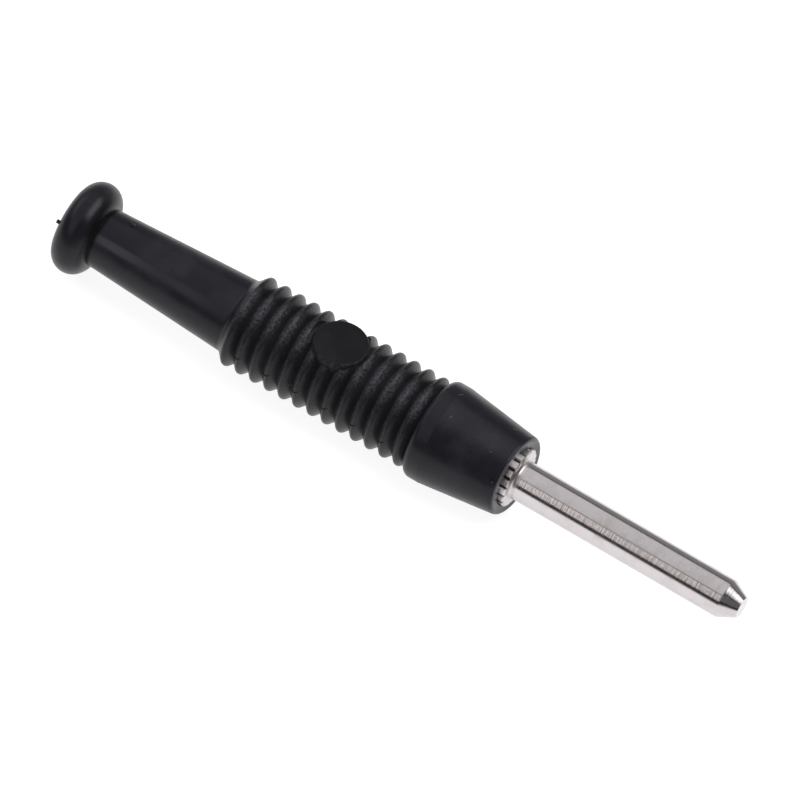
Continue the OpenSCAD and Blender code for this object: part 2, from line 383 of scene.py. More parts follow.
def spot_on_sleeve(along, turn):
    """The point and the outward normal of the sleeve's surface at a place and a turn."""
    outside = on_sleeve(along, SLEEVE_HIGH.z - SLEEVE_LOW.z, turn)
    axis = on_sleeve(along, 0.0, turn)
    point, normal, _, _ = SLEEVE_SURFACE.ray_cast(outside, (axis - outside).normalized())
    if point is None:
        raise RuntimeError("no sleeve under a mark")
    return point, normal


def put_node(tree, kind, inputs=None, **values):
    """A shader node with its settings, and its inputs linked or set by name or number."""
    node = tree.nodes.new(kind)
    for key, value in values.items():
        setattr(node, key, value)
    for key, value in (inputs or {}).items():
        if isinstance(value, bpy.types.NodeSocket):
            tree.links.new(value, node.inputs[key])
        else:
            node.inputs[key].default_value = value
    return node


def calc(tree, operation, first, second=0.0, third=0.0):
    """The output of a maths node."""
    node = put_node(tree, "ShaderNodeMath", {0: first, 1: second, 2: third}, operation=operation)
    return node.outputs[0]


def spread(tree, value, low, high, out_low=0.0, out_high=1.0):
    """A value spread smoothly from one range to another, held at its ends."""
    node = put_node(
        tree,
        "ShaderNodeMapRange",
        {"Value": value, "From Min": low, "From Max": high, "To Min": out_low, "To Max": out_high},
        interpolation_type="SMOOTHSTEP",
    )
    return node.outputs["Result"]


def blend_colours(tree, factor, first, second):
    """The output of a colour mix."""
    node = put_node(
        tree,
        "ShaderNodeMix",
        {"Factor": factor, 6: first, 7: second},
        data_type="RGBA",
    )
    return node.outputs[2]


def vector_length(tree, vector):
    """The length of a vector."""
    node = put_node(tree, "ShaderNodeVectorMath", {0: vector}, operation="LENGTH")
    return node.outputs["Value"]


def noise(tree, vector, scale, detail=2.0, roughness=0.5, dimensions="3D"):
    """The value of a noise texture."""
    inputs = {"Scale": scale, "Detail": detail, "Roughness": roughness}
    inputs["W" if dimensions == "1D" else "Vector"] = vector
    node = put_node(tree, "ShaderNodeTexNoise", inputs, noise_dimensions=dimensions)
    return node.outputs["Fac"]


def cells(tree, vector, scale):
    """The distance to the nearest of many scattered points."""
    inputs = {"Vector": vector, "Scale": scale, "Randomness": 1.0}
    return put_node(tree, "ShaderNodeTexVoronoi", inputs).outputs["Distance"]


def new_group(name, inputs, outputs):
    """An empty shader node group with named sockets: its tree, input node and output node."""
    tree = bpy.data.node_groups.new(name, "ShaderNodeTree")
    for socket, kind, value in inputs:
        made = tree.interface.new_socket(socket, in_out="INPUT", socket_type=kind)
        if value is not None:
            made.default_value = value
    for socket in outputs:
        tree.interface.new_socket(socket, in_out="OUTPUT", socket_type="NodeSocketFloat")
    return tree, tree.nodes.new("NodeGroupInput"), tree.nodes.new("NodeGroupOutput")


def grain_group():
    """Fine grain, small round pits and slow mottling of a moulded surface, in millimetres."""
    name = "Moulded grain"
    if name in bpy.data.node_groups:
        return bpy.data.node_groups[name]
    tree, given, made = new_group(
        name,
        [("Place", "NodeSocketVector", None), ("Grains per mm", "NodeSocketFloat", 5.0)],
        ["Grain", "Pits", "Mottle"],
    )
    place, scale = given.outputs["Place"], given.outputs["Grains per mm"]
    fine = noise(tree, place, scale, detail=3.0, roughness=0.6)
    domes = spread(tree, cells(tree, place, scale), 0.0, DOME_EDGE, 1.0, 0.0)
    mottle = noise(tree, place, MOTTLE_SCALE, detail=3.0)
    tree.links.new(fine, made.inputs["Grain"])
    tree.links.new(domes, made.inputs["Pits"])
    tree.links.new(mottle, made.inputs["Mottle"])
    return tree


def turning_group():
    """Rings that a lathe tool leaves across an axis along X, in millimetres."""
    name = "Turning marks"
    if name in bpy.data.node_groups:
        return bpy.data.node_groups[name]
    tree, given, made = new_group(
        name,
        [("Place", "NodeSocketVector", None), ("Rings per mm", "NodeSocketFloat", 6.0)],
        ["Rings", "Bands"],
    )
    place, scale = given.outputs["Place"], given.outputs["Rings per mm"]
    drift = noise(tree, place, DRIFT_SCALE, detail=1.0)
    split = put_node(tree, "ShaderNodeSeparateXYZ", {0: place})
    along = calc(tree, "MULTIPLY_ADD", drift, DRIFT_REACH, split.outputs["X"])
    rings = noise(tree, along, scale, roughness=0.6, dimensions="1D")
    bands = noise(tree, along, BAND_SCALE, dimensions="1D")
    tree.links.new(rings, made.inputs["Rings"])
    tree.links.new(bands, made.inputs["Bands"])
    return tree


def wear_group():
    """Patches where handling has dulled or polished a surface, in millimetres."""
    name = "Handling wear"
    if name in bpy.data.node_groups:
        return bpy.data.node_groups[name]
    tree, given, made = new_group(
        name,
        [("Place", "NodeSocketVector", None), ("Patches per mm", "NodeSocketFloat", 0.25)],
        ["Patches", "Specks"],
    )
    place, scale = given.outputs["Place"], given.outputs["Patches per mm"]
    broad = noise(tree, place, scale, detail=4.0, roughness=0.65)
    patches = spread(tree, broad, *PATCH_RANGE)
    specks = spread(tree, cells(tree, place, SPECK_SCALE), *SPECK_RANGE, 1.0, 0.0)
    tree.links.new(patches, made.inputs["Patches"])
    tree.links.new(specks, made.inputs["Specks"])
    return tree


def new_material(name):
    """A material with its shader, its place on the piece in millimetres, and nothing else."""
    material = bpy.data.materials.new(name)
    material.use_nodes = True
    tree = material.node_tree
    tree.nodes.clear()
    shader = tree.nodes.new("ShaderNodeBsdfPrincipled")
    output = tree.nodes.new("ShaderNodeOutputMaterial")
    tree.links.new(shader.outputs["BSDF"], output.inputs["Surface"])
    coordinates = tree.nodes.new("ShaderNodeTexCoord")
    place = put_node(
        tree,
        "ShaderNodeVectorMath",
        {0: coordinates.outputs["Object"], "Scale": 1 / MM},
        operation="SCALE",
    )
    return material, tree, shader, place.outputs["Vector"]


def use_group(tree, group, place, key, value):
    """A node that places a shared effect in a material."""
    node = put_node(tree, "ShaderNodeGroup", node_tree=group)
    tree.links.new(place, node.inputs["Place"])
    node.inputs[key].default_value = value
    return node


def relief(tree, shader, height, depth):
    """Bumps the shader's normal by a height from 0 to 1 of that depth in metres."""
    bump = put_node(tree, "ShaderNodeBump", {"Height": height, "Distance": depth, "Strength": 1.0})
    tree.links.new(bump.outputs["Normal"], shader.inputs["Normal"])


def turn_round(tree, split):
    """The turn from the pad towards -Y about the plug's axis, in radians."""
    aside = calc(tree, "MULTIPLY", split.outputs["Y"], -1.0)
    above = calc(tree, "SUBTRACT", split.outputs["Z"], AXIS_HEIGHT / MM)
    return calc(tree, "ARCTAN2", aside, above)


def window(tree, value, middle, full, faded, rest=0.0):
    """1 near a middle value, fading from one distance to another."""
    off = calc(tree, "ABSOLUTE", calc(tree, "SUBTRACT", value, middle))
    return spread(tree, off, full, faded, 1.0, rest)


def product(tree, *values):
    """Several masks or shares multiplied together."""
    made = values[0]
    for value in values[1:]:
        made = calc(tree, "MULTIPLY", made, value)
    return made


def sleeve_masks(tree, place):
    """Masks over the sleeve, by name.

    Painted shade over the grip and neck, pad, painted shade in the crease between bead and tube,
    painted highlights on the pad's rim and the ribs' edges, crests partly worn and partly painted
    with a highlight, and a painted highlight stripe on the tube.
    """
    marks = settings()[1]
    split = put_node(tree, "ShaderNodeSeparateXYZ", {0: place})
    x = split.outputs["X"]
    start = on_sleeve(marks.tube_length, 0.0, 0.0).x / MM
    pitch = marks.rib_pitch / MM
    end = start + marks.rib_count * pitch
    opening = spread(tree, x, start - GRIP_START, start + GRIP_START)
    closing = spread(tree, x, end - GRIP_END, end + GRIP_END, 1.0, 0.0)
    ribbed = product(tree, opening, closing)

    pad_middle = ((start + end) / 2, 0.0, (SLEEVE_HIGH.z - marks.pad_depth) / MM)
    pad_radius = marks.pad_radius / MM
    from_pad = put_node(
        tree,
        "ShaderNodeVectorMath",
        {0: place, 1: pad_middle},
        operation="DISTANCE",
    ).outputs["Value"]
    off_pad = spread(tree, from_pad, pad_radius, pad_radius + PAD_FADE)
    on_grip = product(tree, ribbed, off_pad)
    # Painted highlight on the pad's rim
    rim = window(tree, from_pad, pad_radius, *RIM_HIGHLIGHT_BAND)

    ahead = calc(tree, "FRACT", calc(tree, "MULTIPLY_ADD", x, 1 / pitch, -start / pitch))
    # Rubbing on the crests, partly wear and partly a painted highlight
    strip = CREST_PLACE - marks.rub_sheen_shift / marks.rib_pitch
    crest = window(tree, ahead, strip, marks.rub_sheen_reach / marks.rib_pitch, CREST_END)
    # Painted highlight along each rib's edge, towards the cable
    shoulder = CREST_PLACE - marks.highlight_edge_shift / marks.rib_pitch
    edge = window(tree, ahead, shoulder, HIGHLIGHT_EDGE_FULL, marks.edge_width / marks.rib_pitch)
    turn = turn_round(tree, split)
    # The crests' painted highlight is strongest at one turn round the axis, with some left all round
    rub_sheen_full = RUB_SHEEN_FULL * marks.rub_sheen_spread
    rub_sheen_side = window(tree, turn, marks.rub_sheen_turn, rub_sheen_full, marks.rub_sheen_spread, marks.rub_sheen_rest)

    # The neck band takes painted shade, as the grip does
    neck = on_sleeve(marks.neck_place, 0.0, 0.0).x / MM
    in_neck = window(tree, x, neck, *NECK_BAND)
    # Painted highlight stripe on the tube
    tube_sheen_full = SHEEN_FULL * marks.tube_sheen_spread
    beside = window(tree, turn, marks.tube_sheen_turn, tube_sheen_full, marks.tube_sheen_spread)
    before = spread(tree, x, neck + SHEEN_START[0], neck + SHEEN_START[1])
    fading = spread(tree, x, neck + SHEEN_FADE[0], neck + SHEEN_FADE[1], 1.0, SHEEN_REST)
    ending = spread(tree, x, start - SHEEN_END, start, 1.0, 0.0)
    return {
        "shaded": calc(tree, "MAXIMUM", ribbed, in_neck),
        "pad": calc(tree, "SUBTRACT", ribbed, on_grip),
        # Painted shade in the crease between bead and tube
        "crease": window(tree, x, neck + CREASE_SHIFT, *CREASE_BAND),
        "rim": product(tree, rim, ribbed),
        "edges": product(tree, edge, on_grip),
        "rubbed": product(tree, crest, rub_sheen_side, on_grip),
        "smear": product(tree, before, beside, fading, ending),
    }


def lip_sheen_mask(tree, place):
    """Mask of the sleeve's front lip, where its surface turns to face the pin, for a painted
    highlight.
    """
    split = put_node(tree, "ShaderNodeSeparateXYZ", {0: place})
    front = SLEEVE_HIGH.x / MM
    near = spread(tree, split.outputs["X"], front - LIP_SHEEN_DEPTH[0], front - LIP_SHEEN_DEPTH[1])
    coordinates = tree.nodes.new("ShaderNodeTexCoord")
    facing = put_node(tree, "ShaderNodeSeparateXYZ", {0: coordinates.outputs["Normal"]})
    turned = spread(tree, facing.outputs["X"], *LIP_SHEEN_FACING)
    return product(tree, near, turned)


def moulded_pvc():
    """Satin black PVC, pitted on the crests, with painted shade on grip, neck and crease and painted
    highlights.
    """
    finish = settings()[0]
    material, tree, shader, place = new_material("black_pvc")
    grain = use_group(tree, grain_group(), place, "Grains per mm", PVC_GRAINS)
    wear = use_group(tree, wear_group(), place, "Patches per mm", PVC_PATCHES)
    masks = sleeve_masks(tree, place)

    broken = spread(tree, grain.outputs["Grain"], *FROST_RANGE, FROST_LEAST, 1.0)
    # Pale frosted crests: partly wear, partly a painted highlight
    frost_and_sheen = product(tree, masks["rubbed"], broken)
    # Pale dust patches, joined by the painted highlights
    pale = product(tree, wear.outputs["Patches"], grain.outputs["Mottle"], PVC_DUST)
    for paler in (
        product(tree, masks["smear"], finish.tube_sheen_share),
        product(tree, masks["rim"], broken, finish.rim_highlight_share),
        product(tree, masks["edges"], broken, finish.edge_highlight_share),
        frost_and_sheen,
    ):
        pale = calc(tree, "MAXIMUM", pale, paler)
    # Painted shade: the grip and the neck take the darker body colour
    black, shaded_body = opaque(finish.pvc_colour), opaque(finish.pvc_shade_colour)
    body = blend_colours(tree, masks["shaded"], black, shaded_body)
    tint = blend_colours(tree, pale, body, opaque(finish.pvc_bloom_and_sheen))
    speckled = blend_colours(tree, wear.outputs["Specks"], tint, opaque(PVC_SPECK))
    # Painted highlight on the front lip
    with_lip_sheen = blend_colours(tree, lip_sheen_mask(tree, place), speckled, opaque(finish.pvc_lip_sheen))
    tree.links.new(with_lip_sheen, shader.inputs["Base Color"])

    rough = finish.pvc_gloss + PVC_ROUGH_SHIFT
    for mask, rougher in (
        (wear.outputs["Patches"], PVC_ROUGH_PATCH),
        (grain.outputs["Grain"], PVC_ROUGH_GRAIN),
        (frost_and_sheen, PVC_ROUGH_FROST),
        (masks["pad"], PVC_ROUGH_PAD),
    ):
        rough = calc(tree, "MULTIPLY_ADD", mask, rougher, rough)
    tree.links.new(rough, shader.inputs["Roughness"])

    # Painted shade darkens the crease between bead and tube; the pad's reflection is dulled as well
    painted_shade = product(tree, masks["crease"], finish.crease_shade_share)
    matt = calc(tree, "MULTIPLY_ADD", masks["pad"], finish.pad_dulling, painted_shade)
    tree.links.new(matt, shader.inputs["Metallic"])
    shader.inputs["IOR"].default_value = PVC_IOR
    fine = product(tree, grain.outputs["Grain"], PVC_FINE_RELIEF)
    height = calc(tree, "MULTIPLY_ADD", grain.outputs["Pits"], masks["rubbed"], fine)
    relief(tree, shader, height, finish.grain_depth)
    return material


def knurl_gap_shade_mask(tree, split, front):
    """Mask of the painted shade in the gaps between the knurl's teeth, on a flange with its front at
    that place.
    """
    sizes = settings()[1]
    x = split.outputs["X"]
    above = calc(tree, "SUBTRACT", split.outputs["Z"], AXIS_HEIGHT / MM)
    across = put_node(tree, "ShaderNodeCombineXYZ", {"Y": split.outputs["Y"], "Z": above})
    radius = vector_length(tree, across.outputs["Vector"])
    crest, depth = sizes.knurl_radius / MM, sizes.knurl_depth / MM
    outside = spread(tree, radius, crest - GAP_FLOOR[0] * depth, crest - GAP_FLOOR[1] * depth)
    sunk = spread(tree, radius, crest - GAP_SIDE[0] * depth, crest - GAP_SIDE[1] * depth, 1.0, 0.0)
    rear = front - sizes.flange_length / MM
    front_fade = (front - FLANGE_FRONT_FADE[0], front - FLANGE_FRONT_FADE[1])
    behind = spread(tree, x, *front_fade, 1.0, 0.0)
    ahead = spread(tree, x, rear - FLANGE_REAR_FADE, rear + FLANGE_REAR_FADE)
    return product(tree, outside, sunk, behind, ahead)


def turned_nickel():
    """Nickel plating over a turned surface, with a dull root, turning streaks painted on one side as
    a reflection, and painted shade in the knurl's gaps.
    """
    finish, sizes, _ = settings()
    material, tree, shader, place = new_material("nickel_plate")
    lathe = use_group(tree, turning_group(), place, "Rings per mm", NICKEL_RINGS)
    wear = use_group(tree, wear_group(), place, "Patches per mm", NICKEL_PATCHES)
    split = put_node(tree, "ShaderNodeSeparateXYZ", {0: place})
    x = split.outputs["X"]
    front = on_sleeve(sizes.flange_front, 0.0, 0.0).x / MM
    cone = (CONTACT_HIGH.x - sizes.cone_length) / MM
    straight = spread(tree, x, cone - CONE_FADE, cone + CONE_FADE, 1.0, CONE_REST)

    dull = product(tree, wear.outputs["Patches"], lathe.outputs["Bands"])
    tint = blend_colours(tree, dull, opaque(finish.nickel_colour), opaque(finish.nickel_shade))
    specks = noise(tree, place, NICKEL_SPECKS)
    uneven = calc(tree, "MULTIPLY_ADD", specks, SPECK_SHARE, lathe.outputs["Rings"])
    light = spread(tree, uneven, *STREAK_RANGE)
    streaks = blend_colours(tree, light, opaque(finish.streak_dark), opaque(finish.streak_light))
    # Streaks painted on one side only: turning marks shown as a painted reflection
    turn = turn_round(tree, split)
    streak_sheen_full = STREAK_SHEEN_FULL * sizes.streak_sheen_spread
    side = window(tree, turn, sizes.streak_sheen_turn, streak_sheen_full, sizes.streak_sheen_spread)
    streaked = blend_colours(tree, product(tree, side, straight), tint, streaks)
    # Painted shade in the knurl's gaps
    gaps = knurl_gap_shade_mask(tree, split, front)
    painted_shade = blend_colours(tree, gaps, streaked, opaque(finish.gap_shade_colour))
    tree.links.new(painted_shade, shader.inputs["Base Color"])

    root = spread(tree, x, front + ROOT_FADE[0], front + ROOT_FADE[1], 1.0, 0.0)
    rough = finish.nickel_gloss + NICKEL_ROUGH_SHIFT
    for mask, rougher in (
        (lathe.outputs["Rings"], NICKEL_ROUGH_RING),
        (wear.outputs["Patches"], NICKEL_ROUGH_PATCH),
        (root, NICKEL_ROUGH_ROOT),
    ):
        rough = calc(tree, "MULTIPLY_ADD", mask, rougher, rough)
    tree.links.new(rough, shader.inputs["Roughness"])
    shader.inputs["Metallic"].default_value = 1.0
    height = product(tree, lathe.outputs["Rings"], straight)
    relief(tree, shader, height, finish.mark_depth)
    return material


def plain_steel():
    """Plain steel of the clamp screw."""
    finish = settings()[0]
    material, tree, shader, place = new_material("screw_steel")
    lathe = use_group(tree, turning_group(), place, "Rings per mm", STEEL_RINGS)
    wear = use_group(tree, wear_group(), place, "Patches per mm", STEEL_PATCHES)
    darker = tuple(STEEL_WORN * part for part in finish.steel_colour)
    steel = opaque(finish.steel_colour)
    tint = blend_colours(tree, wear.outputs["Patches"], steel, opaque(darker))
    tree.links.new(tint, shader.inputs["Base Color"])
    least = finish.steel_gloss + STEEL_ROUGH_SHIFT
    rough = calc(tree, "MULTIPLY_ADD", lathe.outputs["Rings"], STEEL_ROUGH_RING, least)
    tree.links.new(rough, shader.inputs["Roughness"])
    shader.inputs["Metallic"].default_value = 1.0
    relief(tree, shader, lathe.outputs["Rings"], finish.steel_depth)
    return material


def shaded_flash():
    """Dull, darker black PVC of the parting line, as painted shade of its crease."""
    finish = settings()[0]
    material, tree, shader, place = new_material("shaded_flash_pvc")
    grain = use_group(tree, grain_group(), place, "Grains per mm", FLASH_SHADE_GRAINS)
    shader.inputs["Base Color"].default_value = opaque(finish.pvc_shade_colour)
    rough = calc(tree, "MULTIPLY_ADD", grain.outputs["Grain"], FLASH_SHADE_ROUGH_GRAIN, FLASH_SHADE_ROUGH)
    tree.links.new(rough, shader.inputs["Roughness"])
    shader.inputs["IOR"].default_value = FLASH_SHADE_IOR
    return material


def pale_lint():
    """Dry pale fibres of dust."""
    finish = settings()[0]
    material, tree, shader, place = new_material("dust_lint")
    grain = use_group(tree, grain_group(), place, "Grains per mm", LINT_GRAINS)
    grey = tuple(LINT_GREY * part for part in finish.lint_colour)
    pale = opaque(finish.lint_colour)
    tint = blend_colours(tree, grain.outputs["Grain"], opaque(grey), pale)
    tree.links.new(tint, shader.inputs["Base Color"])
    shader.inputs["Roughness"].default_value = LINT_ROUGH
    return material


def dress(node, material):
    """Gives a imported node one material."""
    node.data.materials.clear()
    node.data.materials.append(material)


def new_object(name, mesh):
    """An object in the scene with that mesh, which is used up."""
    data = bpy.data.meshes.new(name)
    mesh.to_mesh(data)
    mesh.free()
    made = bpy.data.objects.new(name, data)
    bpy.context.scene.collection.objects.link(made)
    return made


def new_piece(name, mesh, material, body, smooth=True):
    """A mesh piece that rides on a body."""
    piece = new_object(name, mesh)
    piece.data.materials.append(material)
    for face in piece.data.polygons:
        face.use_smooth = smooth
    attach(piece, body)
    return piece


def sweep(mesh, spots, profile, swell):
    """Adds a closed bar along spots on a surface.

    The profile is given as side and height, and swell is the share of it at each spot.
    """
    rings = []
    for i, (point, normal) in enumerate(spots):
        before = spots[max(i - 1, 0)][0]
        after = spots[min(i + 1, len(spots) - 1)][0]
        side = (after - before).cross(normal).normalized()
        ring = [point + side * a * swell[i] + normal * b * swell[i] for a, b in profile]
        rings.append([mesh.verts.new(corner) for corner in ring])
    for first, second in zip(rings, rings[1:]):
        for i in range(len(profile)):
            j = (i + 1) % len(profile)
            mesh.faces.new((first[i], first[j], second[j], second[i]))
    mesh.faces.new(reversed(rings[0]))
    mesh.faces.new(rings[-1])


def swelling(count):
    """Shares that swell from thin ends to a full middle."""
    rise = 1.0 - BAR_END
    return [BAR_END + rise * math.sin(math.pi * i / (count - 1)) for i in range(count)]


def finish_mesh(mesh):
    """Points every face of a closed mesh outwards."""
    bmesh.ops.recalc_face_normals(mesh, faces=mesh.faces)
    return mesh


class PLUG_OT_sleeve(bpy.types.Operator):
    """Finishes the moulded sleeve"""

    bl_idname = "plug.sleeve"
    bl_label = "Dress sleeve"

    def execute(self, context):
        dress(SLEEVE, moulded_pvc())
        return {"FINISHED"}


class PLUG_OT_flash(bpy.types.Operator):
    """Adds the marks of the mould's parting line to every other rib, in a darker PVC as painted
    shade
    """

    bl_idname = "plug.flash"
    bl_label = "Add parting marks"

    def execute(self, context):
        marks = settings()[1]
        half, rise = marks.flash_width / 2, marks.flash_height
        top = half * FLASH_TOP
        profile = [(-half, -rise), (half, -rise), (top, rise), (-top, rise)]
        steps = 13
        mesh = bmesh.new()
        for side in (1, -1):
            for rib in range(1, marks.rib_count, 2):
                crest = marks.tube_length + (rib + CREST_PLACE) * marks.rib_pitch
                middle = crest - marks.flash_shift
                spots = []
                for i in range(steps):
                    share_along = i / (steps - 1)
                    along = middle + (2 * share_along - 1) * marks.flash_reach
                    turn = marks.flash_turn - share_along * marks.flash_slant
                    spots.append(spot_on_sleeve(along, side * turn))
                sweep(mesh, spots, profile, swelling(steps))
        # The marks take the darker, duller PVC as painted shade
        new_piece("parting_marks", finish_mesh(mesh), shaded_flash(), "sleeve")
        return {"FINISHED"}


# Crumbs of moulding flash: place along the axis in millimetres, turn from the pad in degrees,
# size in millimetres
CRUMBS = [
    (4.3, -13.5, 0.24),
    (4.1, -11.5, 0.15),
    (3.85, -16.5, 0.16),
    (2.5, -8.0, 0.09),
    (25.1, 80.5, 0.13),
    (25.36, 81.0, 0.17),
    (25.5, 85.0, 0.19),
    (25.3, 86.5, 0.14),
    (25.7, 88.0, 0.17),
    (25.8, 91.0, 0.13),
]


class PLUG_OT_crumbs(bpy.types.Operator):
    """Adds the crumbs of flash that the moulding left on the tube and the grip"""

    bl_idname = "plug.crumbs"
    bl_label = "Add moulding crumbs"

    def execute(self, context):
        draw = random.Random(CRUMB_SEED)
        mesh = bmesh.new()
        for along, turn, size in CRUMBS:
            point, normal = spot_on_sleeve(along * MM, math.radians(turn))
            made = bmesh.ops.create_icosphere(mesh, subdivisions=2, radius=size * MM)
            upright = normal.to_track_quat("Z", "X").to_matrix()
            for corner in made["verts"]:
                offset = corner.co * draw.uniform(*CRUMB_RANGE)
                offset.z *= CRUMB_HEIGHT
                corner.co = point + upright @ offset
        pvc = SLEEVE.data.materials[0]
        new_piece("moulding_crumbs", finish_mesh(mesh), pvc, "sleeve")
        return {"FINISHED"}


# Dust fibres on the collar: place along the axis in millimetres, turn from the pad in degrees,
# length in millimetres, heading off the axis in degrees
LINT = [
    (40.3, -16.0, 0.75, 62.0),
    (46.3, -23.0, 0.55, 25.0),
    (45.85, 26.0, 0.22, 10.0),
    (40.9, 16.0, 0.5, 75.0),
    (47.3, 59.0, 0.2, 40.0),
]


class PLUG_OT_lint(bpy.types.Operator):
    """Adds the dust fibres that cling to the collar"""

    bl_idname = "plug.lint"
    bl_label = "Add lint"

    def execute(self, context):
        marks = settings()[1]
        sides = 6
        thick = marks.lint_width / 2
        corners = [2 * math.pi * i / sides for i in range(sides)]
        profile = [(thick * math.cos(a), thick * (LINT_LIFT + math.sin(a))) for a in corners]
        steps = 7
        mesh = bmesh.new()
        for place, turn, reach, heading in LINT:
            spots = []
            for i in range(steps):
                ahead = reach * (i / (steps - 1) - 0.5)
                bend = math.radians(heading) + ahead
                along = (place + ahead * math.cos(bend)) * MM
                swing = ahead * math.sin(bend) * MM / (SLEEVE_HIGH.z - AXIS_HEIGHT)
                spots.append(spot_on_sleeve(along, math.radians(turn) - swing))
            sweep(mesh, spots, profile, swelling(steps))
        new_piece("collar_lint", finish_mesh(mesh), pale_lint(), "sleeve")
        return {"FINISHED"}


class PLUG_OT_contact(bpy.types.Operator):
    """Finishes the turned contact"""

    bl_idname = "plug.contact"
    bl_label = "Dress contact"

    def execute(self, context):
        dress(CONTACT, turned_nickel())
        return {"FINISHED"}


class PLUG_OT_screw(bpy.types.Operator):
    """Makes the threaded clamp screw"""

    bl_idname = "plug.screw"
    bl_label = "Make clamp screw"

    def execute(self, context):
        steel = plain_steel()
        dress(SCREW, steel)
        rod = self.threaded_rod()
        screw = new_piece("threaded_screw", rod, steel, "screw", smooth=False)
        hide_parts("clamp_screw")
        self.cut_slot(screw)
        return {"FINISHED"}

    def threaded_rod(self):
        """A threaded rod with a chamfered head and a coned point, in the plain screw's place."""
        marks = settings()[1]
        middle = (SCREW_LOW + SCREW_HIGH) / 2
        radius = (SCREW_HIGH.x - SCREW_LOW.x) / 2
        height = SCREW_HIGH.z - SCREW_LOW.z
        around, rows = 48, 70
        cone = (radius - marks.point_diameter / 2) / marks.point_length
        mesh = bmesh.new()
        rings = []
        for row in range(rows + 1):
            up = height * row / rows
            ring = []
            for i in range(around):
                turn = 2 * math.pi * i / around
                phase = (up / marks.thread_pitch - i / around) % 1.0
                thread = radius - marks.thread_depth * abs(2 * phase - 1)
                point = marks.point_diameter / 2 + cone * up
                head = radius - marks.thread_depth + (height - up)
                reach = min(thread, point, head)
                ring.append(mesh.verts.new((
                    middle.x + reach * math.cos(turn),
                    middle.y + reach * math.sin(turn),
                    SCREW_LOW.z + up,
                )))
            rings.append(ring)
        for low, high in zip(rings, rings[1:]):
            for i in range(around):
                j = (i + 1) % around
                mesh.faces.new((low[i], low[j], high[j], high[i]))
        mesh.faces.new(reversed(rings[0]))
        mesh.faces.new(rings[-1])
        return mesh

    def cut_slot(self, screw):
        """Cuts the driver slot across the screw's top."""
        marks = settings()[1]
        middle = (SCREW_LOW + SCREW_HIGH) / 2
        width = 2 * (SCREW_HIGH.y - SCREW_LOW.y)
        mesh = bmesh.new()
        bmesh.ops.create_cube(mesh, size=1.0)
        for corner in mesh.verts:
            corner.co.x = middle.x + corner.co.x * marks.slot_width
            corner.co.y = middle.y + corner.co.y * width
            corner.co.z = SCREW_HIGH.z + corner.co.z * 2 * marks.slot_depth
        cutter = new_object("slot_cutter", mesh)
        cut = screw.modifiers.new("slot", "BOOLEAN")
        cut.operation = "DIFFERENCE"
        cut.solver = "EXACT"
        cut.object = cutter
        made = screw.evaluated_get(bpy.context.evaluated_depsgraph_get())
        slotted = bpy.data.meshes.new_from_object(made)
        screw.modifiers.remove(cut)
        screw.data = slotted
        bpy.data.objects.remove(cutter)


# Softboxes: name, reach along X and Y as shares of their height, turn in degrees, radiance
SOFTBOXES = [
    ("overhead_softbox", (-1.2, 0.03), (-0.62, 1.18), 0.0, 0.75),
    ("front_softbox", (-1.7, -0.25), (-2.9, -0.6), 10.0, 0.97),
    ("right_softbox", (0.12, 0.85), (-0.25, 0.95), 0.0, 4.0),
    ("left_softbox", (-2.6, -1.25), (-0.5, 1.2), 0.0, 1.6),
    ("tip_card", (0.6, 2.6), (-2.9, -0.4), 0.0, 0.14),
]
SOFTBOX_HEIGHT = 0.5


def softbox(name, reach_x, reach_y, turn, radiance):
    """Adds a flat light that looks straight down and doesn't show to the camera."""
    light = bpy.data.lights.new(name, "AREA")
    light.shape = "RECTANGLE"
    light.size = (reach_x[1] - reach_x[0]) * SOFTBOX_HEIGHT
    light.size_y = (reach_y[1] - reach_y[0]) * SOFTBOX_HEIGHT
    light.energy = math.pi * light.size * light.size_y * radiance
    lamp = bpy.data.objects.new(name, light)
    middle = Vector((sum(reach_x) / 2, sum(reach_y) / 2, 1.0))
    lamp.location = middle * SOFTBOX_HEIGHT
    lamp.rotation_euler.z = -math.radians(turn)
    lamp.visible_camera = False
    bpy.context.scene.collection.objects.link(lamp)


